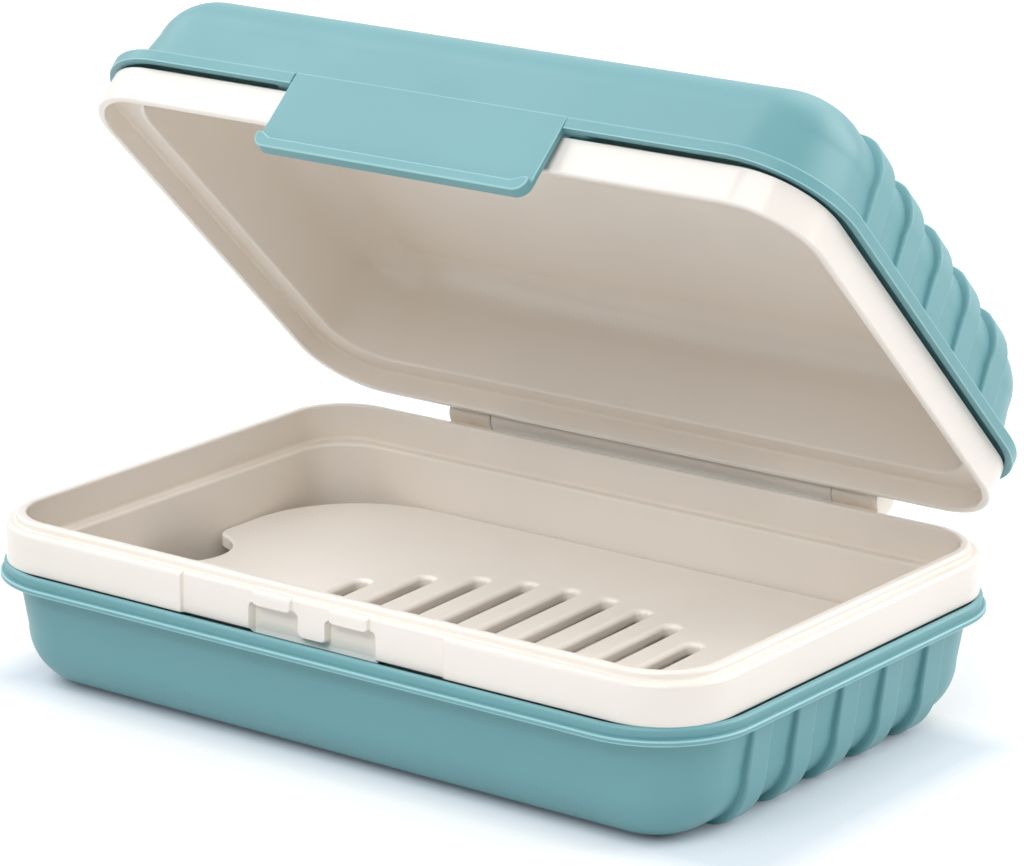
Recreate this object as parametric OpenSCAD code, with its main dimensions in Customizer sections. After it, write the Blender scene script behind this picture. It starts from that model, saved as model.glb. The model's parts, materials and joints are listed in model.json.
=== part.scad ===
// Travel soap box: a two-part base and a two-part lid on a pin hinge, a pull-up latch flap
// and a loose drain tray. The lid stands partly open, as the box is shown.
// Origin: centre of the face that the box rests on. +X runs along the length, -Y is the latch side.

/* [Box] */
// Length over the cream bands
box_length = 120; // [100:1:150]
// Width over the cream bands
box_width = 80; // [66:1:100]
// Plan radius of the bands' corners
corner_r = 11; // [9:0.5:16]
// Height of the base flange's underside above the table
base_flange_z = 15.85; // [14:0.05:24]
// Height of the base's cream band
base_band_h = 5.2; // [4.8:0.1:8]
// Height of the lid's cream band
lid_band_h = 5.4; // [4.8:0.1:8]
// Height of the lid's dome above its flange
lid_dome_h = 14.7; // [12.5:0.1:24]
// Open gap between the two closed halves
parting_gap = 0.2; // [0.1:0.05:0.4]

/* [Outer shells] */
// Wall of the blue shells
shell_wall = 1.6; // [1.2:0.1:2.2]
// How far the shells' walls stand inside the bands
shell_inset = 0.9; // [0.4:0.1:1.5]
// How much further in the walls lean before the edge begins to round
shell_draft = 1.2; // [0.4:0.1:2]
// Radius of the big edge round the shells' flat ends
edge_r = 8.5; // [6:0.5:10]
// Plan radius of the shells' corners
shell_corner_r = 12; // [10.5:0.5:16]
// How far the flanges stand outside the bands
flange_out = 1.7; // [1.2:0.1:2.5]
// Thickness of the base's flange
base_flange_t = 2.55; // [1.4:0.05:3]
// Thickness of the lid's flange
lid_flange_t = 1.8; // [1.6:0.1:3]
// Shadow gap between a flange and the cream band beside it
band_gap = 0.35; // [0.2:0.05:0.8]

/* [Grip ribs] */
// Ribs on each end of each shell
rib_count = 5; // [3:2:7]
// Distance from one rib to the next
rib_pitch = 10.65; // [8:0.05:11]
// Width of a rib
rib_w = 4.4; // [3:0.2:7]
// How far behind the shell's middle the row of ribs is centred
rib_back = 0.45; // [0:0.05:2]
// How far a rib stands out of the end wall
rib_out = 1.1; // [0.5:0.1:1.6]

/* [Inner liners] */
// Wall of the cream liners
liner_wall = 1.5; // [1:0.1:2]
// How much the liners' walls lean in before their edge begins to round
liner_draft = 0.8; // [0.3:0.1:1.5]
// Height of the base's sealing lip above its band
lip_h = 1.1; // [0.6:0.1:2]
// How far the lip stands inside the band
lip_inset = 1.4; // [1.3:0.1:2]
// Thickness of the lip
lip_t = 1.5; // [1:0.1:2]
// How far the base's inner wall stands inside the band
base_ledge_in = 4.9; // [4.6:0.1:7]
// Depth of the base's inner ledge below the top of the band
base_ledge_down = 4.25; // [3.6:0.05:4.4]
// Thickness of the lid's rim
lid_rim_t = 1.1; // [0.8:0.1:1.1]
// How far the lid's inner wall stands inside the band
lid_ledge_in = 4.85; // [4.6:0.05:7]
// Height of the lid's inner ledge above its rim
lid_ledge_up = 3.3; // [2.4:0.1:3.8]

/* [Soap tray] */
// Height of the tray's top above the floor that it stands on
tray_h = 9; // [6:0.1:10]
// Thickness of the tray's plate
tray_t = 2.2; // [1.6:0.1:3]
// Plan radius of the tray's corners
tray_corner_r = 19; // [12:0.5:24]
// Gap between the tray and the wall round it
tray_gap = 0.3; // [0.2:0.05:0.8]
// Radius of the finger notch
notch_r = 8.8; // [7:0.1:11]
// Place of the finger notch along the tray's end
notch_y = -2; // [-6:0.5:6]
// Drain slots
slot_count = 9; // [5:1:9]
// Distance from one slot to the next
slot_pitch = 6.7; // [5.5:0.1:7]
// Width of a slot
slot_w = 2.8; // [2:0.1:3.6]
// Place of the middle slot along the tray
slot_mid_x = 4.4; // [2:0.1:7]
// Place of the slots' front ends
slot_front_y = -25; // [-26:0.5:-12]
// Place of the furthest point of the arc that the slots' rear ends lie on
slot_arc_y = 16; // [10:0.5:20]
// Radius of that arc
slot_arc_r = 37; // [36:0.5:60]
// Place of that arc's middle along the tray
slot_arc_x = 7; // [5:0.5:9]
// Diameter of a foot under the tray
foot_d = 6; // [4:0.5:8]

/* [Hinge] */
// Diameter of the hinge pin
hinge_pin_d = 2; // [1.6:0.1:2.4]
// Running gap round the pin in the lid's barrel
hinge_run = 0.05; // [0.03:0.01:0.08]
// Gap round the pin in the base's ears
ear_fit = 0.02; // [0.01:0.01:0.04]
// Outside diameter of the barrel and of the ears
barrel_d = 4.8; // [4.4:0.1:5]
// Length of the whole hinge
hinge_l = 75.6; // [60:0.2:86]
// Width of one ear
ear_w = 7.6; // [5:0.2:12]
// End gap between an ear and the barrel
ear_gap = 0.25; // [0.15:0.05:0.5]
// How far the hinge's axis lies behind the band
hinge_back = 3; // [2.9:0.1:4]
// How far the hinge's axis lies above the base's band
hinge_up = 1.6; // [1.4:0.1:2]
// Angle that the lid stands open at
lid_open = 43.5; // [0:0.5:110]

/* [Latch] */
// Width of the flap
flap_w = 45; // [30:0.5:54]
// Thickness of the flap
flap_t = 1.5; // [1.2:0.1:1.6]
// Gap between the latched flap and the bands behind it
flap_gap = 0.15; // [0.1:0.05:0.3]
// Height of the lip along the flap's lower edge
flap_lip_h = 1.6; // [1:0.1:2.5]
// How far the lip stands out of the flap
flap_lip_out = 1.5; // [0.8:0.1:2.5]
// How far the lip's ends stand out of the flap's sides
flap_ear = 0.5; // [0.3:0.1:1.5]
// Gap between the latched flap and the base's flange
flap_floor_gap = 0.3; // [0.2:0.1:1]
// Gap at each end of the flap
flap_side_gap = 0.2; // [0.15:0.05:0.6]
// Angle that the flap stands off the bands at
flap_open = 4; // [4:0.5:12]
// Diameter of the flap's pin
latch_pin_d = 0.9; // [0.8:0.05:1]
// Depth of each end of the flap's pin in the flange
latch_pin_seat = 3; // [2:0.5:5]
// Running gap round the flap's pin
latch_run = 0.04; // [0.02:0.01:0.06]
// Depth of the flap's landing in the base's band
landing_in = 0.5; // [0.3:0.05:0.6]
// Width of the flap's landing
landing_w = 44; // [32:0.5:50]
// Distance from the middle of one catch window to the middle of the other
window_pitch = 13.3; // [12:0.1:18]
// Width of a catch window
window_w = 8.4; // [7:0.1:9]
// Height of a catch window
window_h = 3.5; // [3.2:0.1:3.7]
// Depth of a catch window behind the landing
window_in = 1.2; // [1.1:0.05:1.3]
// Width of a catch lug and of its hook
lug_w = 6.2; // [4:0.1:6.6]
// How far a hook reaches in behind its lug
hook_in = 0.35; // [0.25:0.05:0.35]
// Height of a hook
hook_h = 1.5; // [1:0.1:1.8]
// Gap between a latched hook and its lug
hook_gap = 0.3; // [0.2:0.05:0.5]

/* [Hidden] */
$fn = 48;
// Thickness of the flat slabs that a hulled wall starts from
slab = 0.2;
// How far a cut runs past the face that it opens
over = 1;
// How far the ribs' lower ends stay above the flat end of the shell
rib_foot = 0.1;
blue = "#8fc0c8";
cream = "#efeae0";
steel = "#b9bcc0";

half_l = box_length / 2;
half_w = box_width / 2;

// Levels of the closed box, from the table up
base_flange_top = base_flange_z + base_flange_t;
base_band_z = base_flange_top + band_gap;
base_top = base_band_z + base_band_h;
rim_z = base_top + parting_gap;
lid_band_top = rim_z + lid_band_h;
lid_flange_z = lid_band_top + band_gap;
lid_flange_top = lid_flange_z + lid_flange_t;
lid_top = lid_flange_top + lid_dome_h;

// Floors and ceilings: the liners bear on the shells, face to face
base_floor = shell_wall + liner_wall;
lid_ceiling = lid_top - shell_wall - liner_wall;
base_ledge_z = base_top - base_ledge_down;
lid_ledge_z = rim_z + lid_ledge_up;
tray_top = base_floor + tray_h;

// Radii of the shells' and liners' rounded edges, from the outside in
shell_in_r = edge_r - shell_wall;
liner_clear = 0.2;
liner_out_r = shell_in_r - liner_clear;
liner_in_r = liner_out_r - liner_wall;

// Inner walls of the liners, where their draft has reached the tray's top
base_draft_z = base_floor + liner_in_r;
tray_inset = base_ledge_in + liner_draft * (base_ledge_z - tray_top) / (base_ledge_z - base_draft_z) + tray_gap;
tray_half_l = half_l - tray_inset;
tray_half_w = half_w - tray_inset;
foot_x = tray_half_l - tray_corner_r / 2;
foot_y = tray_half_w - tray_corner_r / 2;

// Axes of the hinge and of the flap in the closed box
hinge_y = half_w + hinge_back;
hinge_z = base_top + hinge_up;
barrel_l = hinge_l - 2 * (ear_w + ear_gap);
latch_r = lid_flange_t / 2;
latch_y = -(half_w + flange_out - latch_r);
latch_z = lid_flange_z + latch_r;

// The flap, closed and latched
flap_face = half_w + flap_gap;
flap_z = base_flange_top + flap_floor_gap;
hook_top = base_band_z + window_h - hook_gap;

// Two-dimensional outline with round corners
module plan(half_x, half_y, r) {
    square([2 * (half_x - r), 2 * half_y], center = true);
    square([2 * half_x, 2 * (half_y - r)], center = true);
    for (sx = [-1, 1], sy = [-1, 1])
        translate([sx * (half_x - r), sy * (half_y - r)]) circle(r);
}

// Straight ring between two insets of the box's outline
module ring(z, h, outer_in, inner_in) {
    translate([0, 0, z]) difference() {
        linear_extrude(h) plan(half_l - outer_in, half_w - outer_in, corner_r - outer_in);
        translate([0, 0, -over]) linear_extrude(h + 2 * over)
            plan(half_l - inner_in, half_w - inner_in, corner_r - inner_in);
    }
}

// Solid bowl standing on z = 0: its mouth is at z = h, and its floor's edge is rounded
module bowl(half_x, half_y, r, h, lean, round_r) {
    low_r = max(r - lean, round_r + 0.5);
    hull() {
        for (sx = [-1, 1], sy = [-1, 1]) {
            translate([sx * (half_x - r), sy * (half_y - r), h - slab]) cylinder(r = r, h = slab, $fn = 36);
            translate([sx * (half_x - lean - low_r), sy * (half_y - lean - low_r), round_r])
                rotate_extrude($fn = 36) intersection() {
                    translate([low_r - round_r, 0]) circle(round_r, $fn = 36);
                    translate([0, -round_r]) square([low_r, round_r]);
                }
        }
    }
}

// Outline of a rib seen from the side, standing on z = 0: the end wall's own line, set out and down by rib_out
module rib_outline(h) {
    centre = [half_l - shell_inset + rib_out - shell_draft - edge_r, edge_r - rib_out];
    corner = [half_l - shell_inset + rib_out, h];
    reach = corner - centre;
    // Direction from the centre to the point where the wall's line leaves the rounded edge
    leave = atan2(reach.y, reach.x) - acos(edge_r / norm(reach));
    intersection() {
        union() {
            polygon([
                [centre.x - rib_out, h],
                corner,
                centre + edge_r * [cos(leave), sin(leave)],
                centre,
                [centre.x - rib_out, 0]]);
            translate(centre) circle(edge_r);
        }
        translate([centre.x - rib_out, rib_foot]) square([2 * edge_r, h]);
    }
}

// Outside of a shell with its ribs: h from the flat end to the flange
module shell_outside(h) {
    bowl(half_l - shell_inset, half_w - shell_inset, shell_corner_r, h, shell_draft, edge_r);
    for (end = [0, 1], i = [0:rib_count - 1])
        mirror([end, 0, 0]) translate([0, (i - (rib_count - 1) / 2) * rib_pitch + rib_w / 2 + rib_back, 0])
            rotate([90, 0, 0]) linear_extrude(rib_w) rib_outline(h - slab);
}

// Whole shell standing on its flat end, with its flange at z = flange_low
module shell(flange_low, flange_t) {
    top = flange_low + flange_t;
    difference() {
        union() {
            shell_outside(flange_low + flange_t / 2);
            translate([0, 0, flange_low]) linear_extrude(flange_t)
                plan(half_l + flange_out, half_w + flange_out, shell_corner_r + shell_inset + flange_out);
        }
        translate([0, 0, shell_wall])
            bowl(half_l - shell_inset - shell_wall, half_w - shell_inset - shell_wall,
                shell_corner_r - shell_wall, top, shell_draft, shell_in_r);
    }
}

// Liner's bowl standing on z = 0, from its flat end to its ledge, with corners that follow the shell's
module liner_bowl(ledge_h, ledge_in) {
    out_in = ledge_in - liner_wall;
    out_r = shell_corner_r + shell_inset - out_in;
    difference() {
        bowl(half_l - out_in, half_w - out_in, out_r, ledge_h, liner_draft, liner_out_r);
        translate([0, 0, liner_wall])
            bowl(half_l - ledge_in, half_w - ledge_in, out_r - liner_wall, ledge_h, liner_draft, liner_in_r);
    }
}

// Turns what is drawn closed to the angle that the lid stands open at
module opened() {
    translate([0, hinge_y, hinge_z]) rotate([-lid_open, 0, 0]) translate([0, -hinge_y, -hinge_z]) children();
}

// Rod or bore along the length, through y and z
module rod(y, z, d, l) {
    translate([-l / 2, y, z]) rotate([0, 90, 0]) cylinder(d = d, h = l);
}

// Outline in Y and Z, extruded along the length about x = 0
module web(l, points) {
    translate([-l / 2, 0, 0]) rotate([90, 0, 90]) linear_extrude(l) polygon(points);
}

module base_shell() {
    color(blue) shell(base_flange_z, base_flange_t);
}

module catch_front() {
    landing_y = -(half_w - landing_in);
    for (s = [-1, 1]) {
        translate([s * window_pitch / 2 - lug_w / 2, -half_w, base_band_z + window_h])
            cube([lug_w, landing_in + window_in, base_band_h - window_h]);
    }
    difference() {
        translate([-landing_w / 2, landing_y, base_band_z]) cube([landing_w, lip_inset, base_band_h]);
        for (s = [-1, 1])
            translate([s * window_pitch / 2 - window_w / 2, landing_y - over, base_band_z - over])
                cube([window_w, over + window_in, over + window_h]);
    }
}

module base_liner() {
    tub_z = shell_wall;
    ear_x = (hinge_l - ear_w) / 2;
    color(cream) {
        difference() {
            union() {
                difference() {
                    ring(base_band_z, base_band_h, 0, lip_inset + lip_t);
                    translate([-landing_w / 2, -half_w - over, base_band_z - over])
                        cube([landing_w, over + landing_in + window_in, base_band_h + 2 * over]);
                }
                catch_front();
                ring(base_band_z, base_top + lip_h - base_band_z, lip_inset + window_in, lip_inset + lip_t);
                ring(base_top - slab, lip_h + slab, lip_inset, lip_inset + lip_t);
                ring(base_band_z, base_ledge_z - base_band_z, lip_inset + window_in, base_ledge_in);
                translate([0, 0, tub_z]) liner_bowl(base_ledge_z - tub_z, base_ledge_in);
                for (s = [-1, 1]) translate([s * ear_x, 0, 0]) {
                    rod(hinge_y, hinge_z, barrel_d, ear_w);
                    web(ear_w, [
                        [half_w - lip_inset, base_band_z + 1.2],
                        [half_w, base_band_z + 1.2],
                        [hinge_y, hinge_z - barrel_d / 2],
                        [hinge_y, hinge_z],
                        [half_w + 0.8, base_top],
                        [half_w - lip_inset, base_top]]);
                }
            }
            rod(hinge_y, hinge_z, hinge_pin_d + 2 * ear_fit, hinge_l + 2 * over);
        }
    }
}

function slot_rear(x) = slot_arc_y - slot_arc_r + sqrt(pow(slot_arc_r, 2) - pow(x - slot_arc_x, 2));

module slot(x) {
    front = slot_front_y + slot_w / 2;
    rear = slot_rear(x) - slot_w / 2;
    translate([x - slot_w / 2, front, tray_top - tray_t - over]) cube([slot_w, rear - front, tray_t + 2 * over]);
    for (y = [front, rear])
        translate([x, y, tray_top - tray_t - over]) cylinder(d = slot_w, h = tray_t + 2 * over);
}

module soap_tray() {
    color(cream) {
        difference() {
            translate([0, 0, tray_top - tray_t]) linear_extrude(tray_t) plan(tray_half_l, tray_half_w, tray_corner_r);
            translate([-tray_half_l, notch_y, tray_top - tray_t - over]) cylinder(r = notch_r, h = tray_t + 2 * over);
            for (i = [0:slot_count - 1]) slot(slot_mid_x + (i - (slot_count - 1) / 2) * slot_pitch);
        }
        for (sx = [-1, 1], sy = [-1, 1])
            translate([sx * foot_x, sy * foot_y, base_floor]) cylinder(d = foot_d, h = tray_h - tray_t + slab);
    }
}

module lid_shell() {
    pocket_w = flap_w + 2 * flap_side_gap;
    color(blue) opened() difference() {
        translate([0, 0, lid_top]) mirror([0, 0, 1]) shell(lid_dome_h, lid_flange_t);
        translate([-pocket_w / 2, -(half_w + flange_out + over), lid_flange_z - over])
            cube([pocket_w, flange_out + over + shell_inset - flap_side_gap / 2, lid_flange_t + over]);
        rod(latch_y, latch_z, latch_pin_d + 2 * latch_run, pocket_w + 2 * latch_pin_seat);
    }
}

module lid_liner() {
    tub_h = lid_top - shell_wall - lid_ledge_z;
    color(cream) opened() difference() {
        union() {
            ring(rim_z, lid_band_h, 0, lid_rim_t);
            ring(lid_ledge_z, lid_band_top - lid_ledge_z, 0, lid_ledge_in);
            translate([0, 0, lid_top - shell_wall]) mirror([0, 0, 1]) liner_bowl(tub_h, lid_ledge_in);
            rod(hinge_y, hinge_z, barrel_d, barrel_l);
            web(barrel_l, [
                [half_w - lid_rim_t, rim_z + 0.4],
                [half_w + 0.8, rim_z + 0.8],
                [hinge_y, hinge_z],
                [hinge_y, hinge_z + barrel_d / 2],
                [half_w, lid_band_top - 1],
                [half_w - lid_rim_t, lid_band_top - 1]]);
        }
        rod(hinge_y, hinge_z, hinge_pin_d + 2 * hinge_run, barrel_l + 2 * over);
    }
}

module flap_closed() {
    difference() {
        union() {
            rod(latch_y, latch_z, 2 * latch_r, flap_w);
            translate([-flap_w / 2, -(flap_face + flap_t), flap_z]) cube([flap_w, flap_t, latch_z - flap_z]);
            translate([-flap_w / 2 - flap_ear, -(flap_face + flap_t + flap_lip_out), flap_z])
                cube([flap_w + 2 * flap_ear, flap_lip_out + flap_t, flap_lip_h]);
            for (s = [-1, 1]) translate([s * window_pitch / 2, 0, 0])
                web(lug_w, [
                    [-flap_face - slab, hook_top - hook_h],
                    [-flap_face - slab, hook_top],
                    [-half_w + hook_in, hook_top],
                    [-half_w + hook_in, hook_top - hook_h / 3]]);
        }
        rod(latch_y, latch_z, latch_pin_d + 2 * latch_run, flap_w + 2 * over);
    }
}

module latch_flap() {
    color(blue) opened()
        translate([0, latch_y, latch_z]) rotate([-flap_open, 0, 0]) translate([0, -latch_y, -latch_z]) flap_closed();
}

module hinge_pin() {
    color(steel) rod(hinge_y, hinge_z, hinge_pin_d, hinge_l);
}

module latch_pin() {
    color(steel) opened()
        rod(latch_y, latch_z, latch_pin_d, flap_w + 2 * flap_side_gap + 2 * latch_pin_seat - 2 * slab);
}

base_shell();
base_liner();
soap_tray();
lid_shell();
lid_liner();
latch_flap();
hinge_pin();
latch_pin();
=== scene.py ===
# Travel soap box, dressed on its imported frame. The pieces' sizes are in millimetres until a mesh is made;
# the camera, lamps, floor and materials are in metres.
import json
import math

import bmesh
import bpy
import numpy as np
from mathutils import Matrix, Vector


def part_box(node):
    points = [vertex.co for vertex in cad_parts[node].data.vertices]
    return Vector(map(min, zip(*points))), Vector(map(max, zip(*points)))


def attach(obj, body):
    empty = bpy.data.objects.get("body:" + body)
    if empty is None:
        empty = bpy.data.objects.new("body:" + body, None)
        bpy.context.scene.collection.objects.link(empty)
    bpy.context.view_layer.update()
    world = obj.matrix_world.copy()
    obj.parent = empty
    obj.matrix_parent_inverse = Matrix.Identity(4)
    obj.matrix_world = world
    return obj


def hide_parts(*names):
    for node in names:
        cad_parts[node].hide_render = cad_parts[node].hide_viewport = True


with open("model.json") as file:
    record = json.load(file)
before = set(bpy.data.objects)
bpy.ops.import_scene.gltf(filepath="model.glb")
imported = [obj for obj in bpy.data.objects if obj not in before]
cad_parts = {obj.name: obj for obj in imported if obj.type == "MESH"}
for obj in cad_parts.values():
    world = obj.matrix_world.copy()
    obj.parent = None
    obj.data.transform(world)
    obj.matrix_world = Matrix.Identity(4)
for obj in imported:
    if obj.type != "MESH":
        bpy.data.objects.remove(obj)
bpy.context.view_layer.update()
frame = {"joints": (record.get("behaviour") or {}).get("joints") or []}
mm = 0.001
joints = {joint["name"]: joint for joint in frame["joints"]}


def measure(node):
    low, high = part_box(node)
    return [v / mm for v in low], [v / mm for v in high]


# The whole box, shut. What the frame holds is read from it below
box = {
    "corner": 11,  # plan radius of the bands
    "bandGap": 0.35,
    "bandSunk": 0.25,  # the base's band reaches this far below its flange's crown
    "baseBand": 5.2,
    "parting": 0.2,
    "lidBand": 5.4,
    "lidFlange": 1.8,
    "lidDome": 14.7,
    "baseFlange": 2.55,
    "shellInset": 0.9,
    "shellDraft": 1.2,
    "shellWall": 1.6,
    "shellCorner": 12,
    "edge": 8.55,  # the big rounding of the flat ends, eased to stay inside the frame's facets
    "shellGap": 0.2,  # left between a shell's rounding and its liner's
    "linerWall": 1.5,
    "linerDraft": 0.8,
    "straightX": 46,  # half of the run along the fronts that is straight at every level
    "straightY": 26,
    "stepX": 8,
    "stepY": 6,
}
shellLow, shellHigh = measure("base_shell")
linerLow, linerHigh = measure("base_liner")
trayLow, trayHigh = measure("soap_tray")
halfLength = linerHigh[0]
halfWidth = -linerLow[1]
flangeOut = shellHigh[0] - halfLength
hingeY, hingeZ = [v / mm for v in joints["lid_hinge"]["pos_m"][1:]]
lidAngle = -joints["lid_hinge"]["range_deg"][0]
flapLean = -joints["latch_hinge"]["range_deg"][0]  # the flap hangs this far off the bands

baseFlangeTop = shellHigh[2]
baseFlangeLow = baseFlangeTop - box["baseFlange"]
baseBandLow = baseFlangeTop - box["bandSunk"]
baseTop = baseFlangeTop + box["bandGap"] + box["baseBand"]
rimLow = baseTop + box["parting"]
lidBandTop = rimLow + box["lidBand"]
lidFlangeLow = lidBandTop + box["bandGap"]
lidFlangeTop = lidFlangeLow + box["lidFlange"]
lidTop = lidFlangeTop + box["lidDome"]


def turnAbout(y, z, degrees):
    pivot = Matrix.Translation((0, y * mm, z * mm))
    return pivot @ Matrix.Rotation(math.radians(degrees), 4, "X") @ pivot.inverted()


lidTurn = turnAbout(hingeY, hingeZ, -lidAngle)
latchRest = Vector(joints["latch_hinge"]["pos_m"])
latchShut = lidTurn.inverted() @ latchRest
latchY, latchZ = latchShut.y / mm, latchShut.z / mm
flapTurn = lidTurn @ turnAbout(latchY, latchZ, -flapLean)
print("frame read: box", round(2 * halfLength, 1), "x", round(2 * halfWidth, 1), "mm, lid at", lidAngle)

# The camera stands where the photograph was taken from
view = {
    "azimuth": 36.23,
    "elevation": 16.14,
    "roll": 0.51,
    "lens": 160.07,
    "sensor": 36,
    "place": (0.35883, -0.48466, 0.21281),
}


def makeCamera():
    a, e, r = [math.radians(view[k]) for k in ("azimuth", "elevation", "roll")]
    back = Vector((math.sin(a) * math.cos(e), -math.cos(a) * math.cos(e), math.sin(e)))
    right = Vector((math.cos(a), math.sin(a), 0))
    up = back.cross(right)
    sideways = right * math.cos(r) + up * math.sin(r)
    upward = up * math.cos(r) - right * math.sin(r)
    data = bpy.data.cameras.new("camera")
    data.lens = view["lens"]
    data.sensor_width = view["sensor"]
    data.clip_start, data.clip_end = 0.01, 20
    camera = bpy.data.objects.new("camera", data)
    camera.matrix_world = Matrix.Translation(view["place"]) @ Matrix(
        (sideways, upward, back)).transposed().to_4x4()
    bpy.context.scene.collection.objects.link(camera)
    bpy.context.scene.camera = camera


makeCamera()


# Outlines
def roundOff(corners, closed=False, perTurn=10):
    # Each corner is a point with any values that ride along, and its rounding last; perTurn is in degrees
    points = [np.array(c[:-1], float) for c in corners]
    count = len(points)
    line = []
    for i, here in enumerate(points):
        radius = corners[i][-1]
        if radius == 0 or (not closed and i in (0, count - 1)):
            line.append(here)
            continue
        before = points[i - 1] - here
        after = points[(i + 1) % count] - here
        a, b = np.linalg.norm(before[:2]), np.linalg.norm(after[:2])
        inner = math.acos(max(-1, min(1, before[:2] @ after[:2] / (a * b))))
        reach = radius / math.tan(inner / 2)
        start, end = here + before * reach / a, here + after * reach / b
        middle = before[:2] / a + after[:2] / b
        centre = here[:2] + middle / np.linalg.norm(middle) * radius / math.sin(inner / 2)
        first = math.atan2(*(start[:2] - centre)[::-1])
        sweep = (math.atan2(*(end[:2] - centre)[::-1]) - first + math.pi) % (2 * math.pi) - math.pi
        steps = max(3, round(math.degrees(abs(sweep)) / perTurn))
        for k in range(steps + 1):
            t = k / steps
            point = start * (1 - t) + end * t
            angle = first + sweep * t
            point[:2] = centre + radius * np.array([math.cos(angle), math.sin(angle)])
            line.append(point)
    return line


def arc(x, y, radius, first, last, perTurn=6):
    steps = max(2, round(abs(last - first) / perTurn))
    angles = [math.radians(first + (last - first) * k / steps) for k in range(steps + 1)]
    return [(x + radius * math.cos(a), y + radius * math.sin(a)) for a in angles]


def spread(low, high, step):
    count = max(1, round((high - low) / step))
    return [low + (high - low) * k / count for k in range(count + 1)]


def smooth(t):
    t = np.clip(t, 0, 1)
    return t * t * (3 - 2 * t)


wearAndHighlightFrom, wearAndHighlightOver = 2, 2.5  # bend per millimetre at which the pale wear and painted highlight start, and over which they grow to full


def edgeWearAndHighlight(points, side):
    # How far a line's tight bends to one side (1 left, -1 right) are worn pale and carry a painted highlight
    # line
    line = np.array([p[:2] for p in points], float)
    wearAndHighlight = np.zeros(len(line))
    before, after = line[1:-1] - line[:-2], line[2:] - line[1:-1]
    a, b = np.linalg.norm(before, axis=1), np.linalg.norm(after, axis=1)
    turn = np.arcsin(np.clip((before[:, 0] * after[:, 1] - before[:, 1] * after[:, 0]) / (a * b), -1, 1))
    wearAndHighlight[1:-1] = np.clip((side * turn * 2 / (a + b) - wearAndHighlightFrom) / wearAndHighlightOver, 0, 1)
    return wearAndHighlight


# Meshes
def planRing(inset, radius, sides, cornerSteps=20):
    # One level's outline, counterclockwise from the front left: front, right end, back, left end
    hx, hy = halfLength - inset, halfWidth - inset
    cx, cy = hx - radius, hy - radius
    centres = [(cx, -cy, -90), (cx, cy, 0), (-cx, cy, 90), (-cx, -cy, 180)]
    ring = []
    for side, (x, y, first) in enumerate(centres):
        wearAndHighlight = edgeWearAndHighlight(sides[side], 1 if side > 1 else -1)
        for (along, lift), wornAndLit in zip(sides[side], wearAndHighlight):
            spot = [(along, -hy), (hx, along), (along, hy), (-hx, along)][side]
            # Rib crests on the ends carry the pale wear and a painted highlight line
            ring.append((*spot, side, lift, wornAndLit if lift > 0 and side % 2 else 0))
        for px, py in arc(x, y, radius, first, first + 90, 90 / cornerSteps):
            ring.append((px, py, -1, 0, 0))
    return np.array(ring)


leastRadius = 0.3


def loft(profile, sides, shape=None):
    # A closed solid between its first ring's cap and its last ring's cap
    rings, wearAndHighlight = [], []
    line = roundOff(profile)
    outerSide = 1 if line[-1][1] < line[0][1] else -1
    for (inset, z, radius, weight), wornAndLit in zip(line, edgeWearAndHighlight(line, outerSide)):
        ring = planRing(inset, max(radius, leastRadius), sides)
        points = np.column_stack([ring[:, :2], np.full(len(ring), z)])
        if shape:
            shape(points, ring[:, 2], ring[:, 3], weight)
        rings.append(points)
        # Tight bends of the profile and rib crests carry the pale wear and painted highlight
        wearAndHighlight += list(np.maximum(ring[:, 4] * weight, wornAndLit))
    count = len(rings[0])
    faces = []
    for i in range(len(rings) - 1):
        low, high = i * count, (i + 1) * count
        for j in range(count):
            k = (j + 1) % count
            faces.append((low + j, low + k, high + k, high + j))
    faces.append(tuple(reversed(range(count))))
    faces.append(tuple(range((len(rings) - 1) * count, len(rings) * count)))
    mesh = bmesh.new()
    layer = mesh.verts.layers.float.new("edge")
    spots = [mesh.verts.new(p * mm) for p in np.vstack(rings)]
    for spot, wornAndLit in zip(spots, wearAndHighlight):
        spot[layer] = wornAndLit
    for face in faces:
        mesh.faces.new([spots[v] for v in face])
    return cleaned(mesh)


def cleaned(mesh):
    samePoint, noEdge = 2e-6, 1e-6  # in metres
    bmesh.ops.remove_doubles(mesh, verts=mesh.verts, dist=samePoint)
    bmesh.ops.dissolve_degenerate(mesh, edges=mesh.edges, dist=noEdge)
    bmesh.ops.recalc_face_normals(mesh, faces=mesh.faces)
    return mesh


roundSteps = 6  # facets across a plate's rounded edge


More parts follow.
